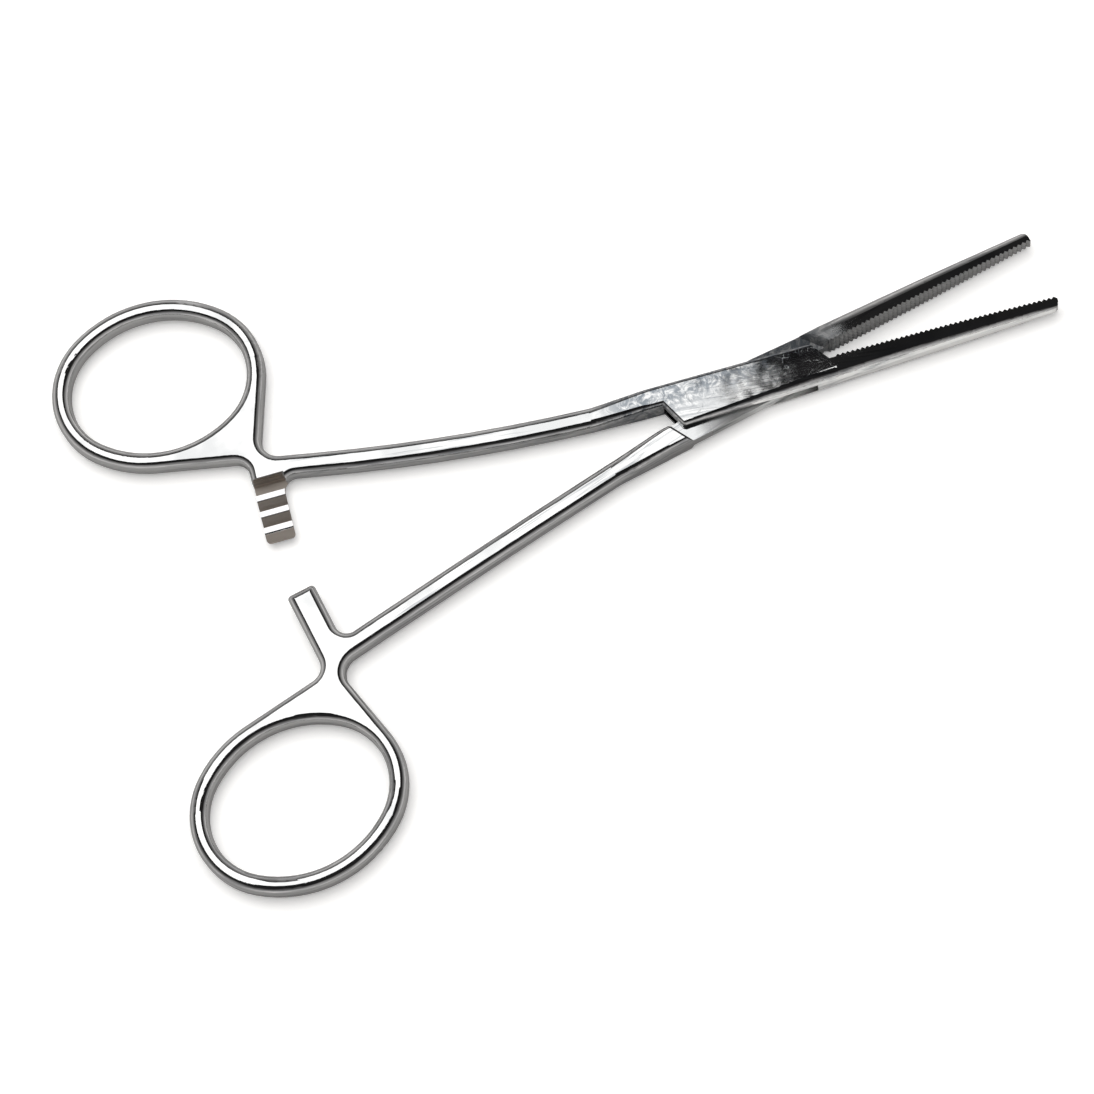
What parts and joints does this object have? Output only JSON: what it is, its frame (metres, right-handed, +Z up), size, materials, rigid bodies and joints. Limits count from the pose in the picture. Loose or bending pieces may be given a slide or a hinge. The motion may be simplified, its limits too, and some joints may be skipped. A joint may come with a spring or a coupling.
{
  "type": "hemostat forceps",
  "caption": "Straight locking forceps with a box lock, finger rings, ratchet racks and finely serrated jaws, lying half open.",
  "frame": {"origin": "on the pivot axis, at the flat underside of the box, where the forceps rests", "axes": "+X along the middle of the opening towards the jaw tips, +Y towards the ring of the box half, +Z up along the pivot"},
  "size_m": [0.137, 0.09, 0.0044],
  "materials": {
    "box_half": "polished stainless steel forging, finely brushed on the box",
    "insert_half": "polished stainless steel forging, finely brushed on the waist",
    "pivot_pin": "stainless steel, ground flush with the box"
  },
  "bodies": {
    "box_side": {"box_half": "box_half", "pivot_pin": "pivot_pin"},
    "insert_side": {"insert_half": "insert_half"}
  },
  "joints": [
    {"name": "box_lock_pivot", "type": "hinge", "parent": "box_side", "child": "insert_side", "pos_m": [0, 0, 0.0022], "axis": [0, 0, 1], "range_deg": [-12.5, 47.5]}
  ]
}
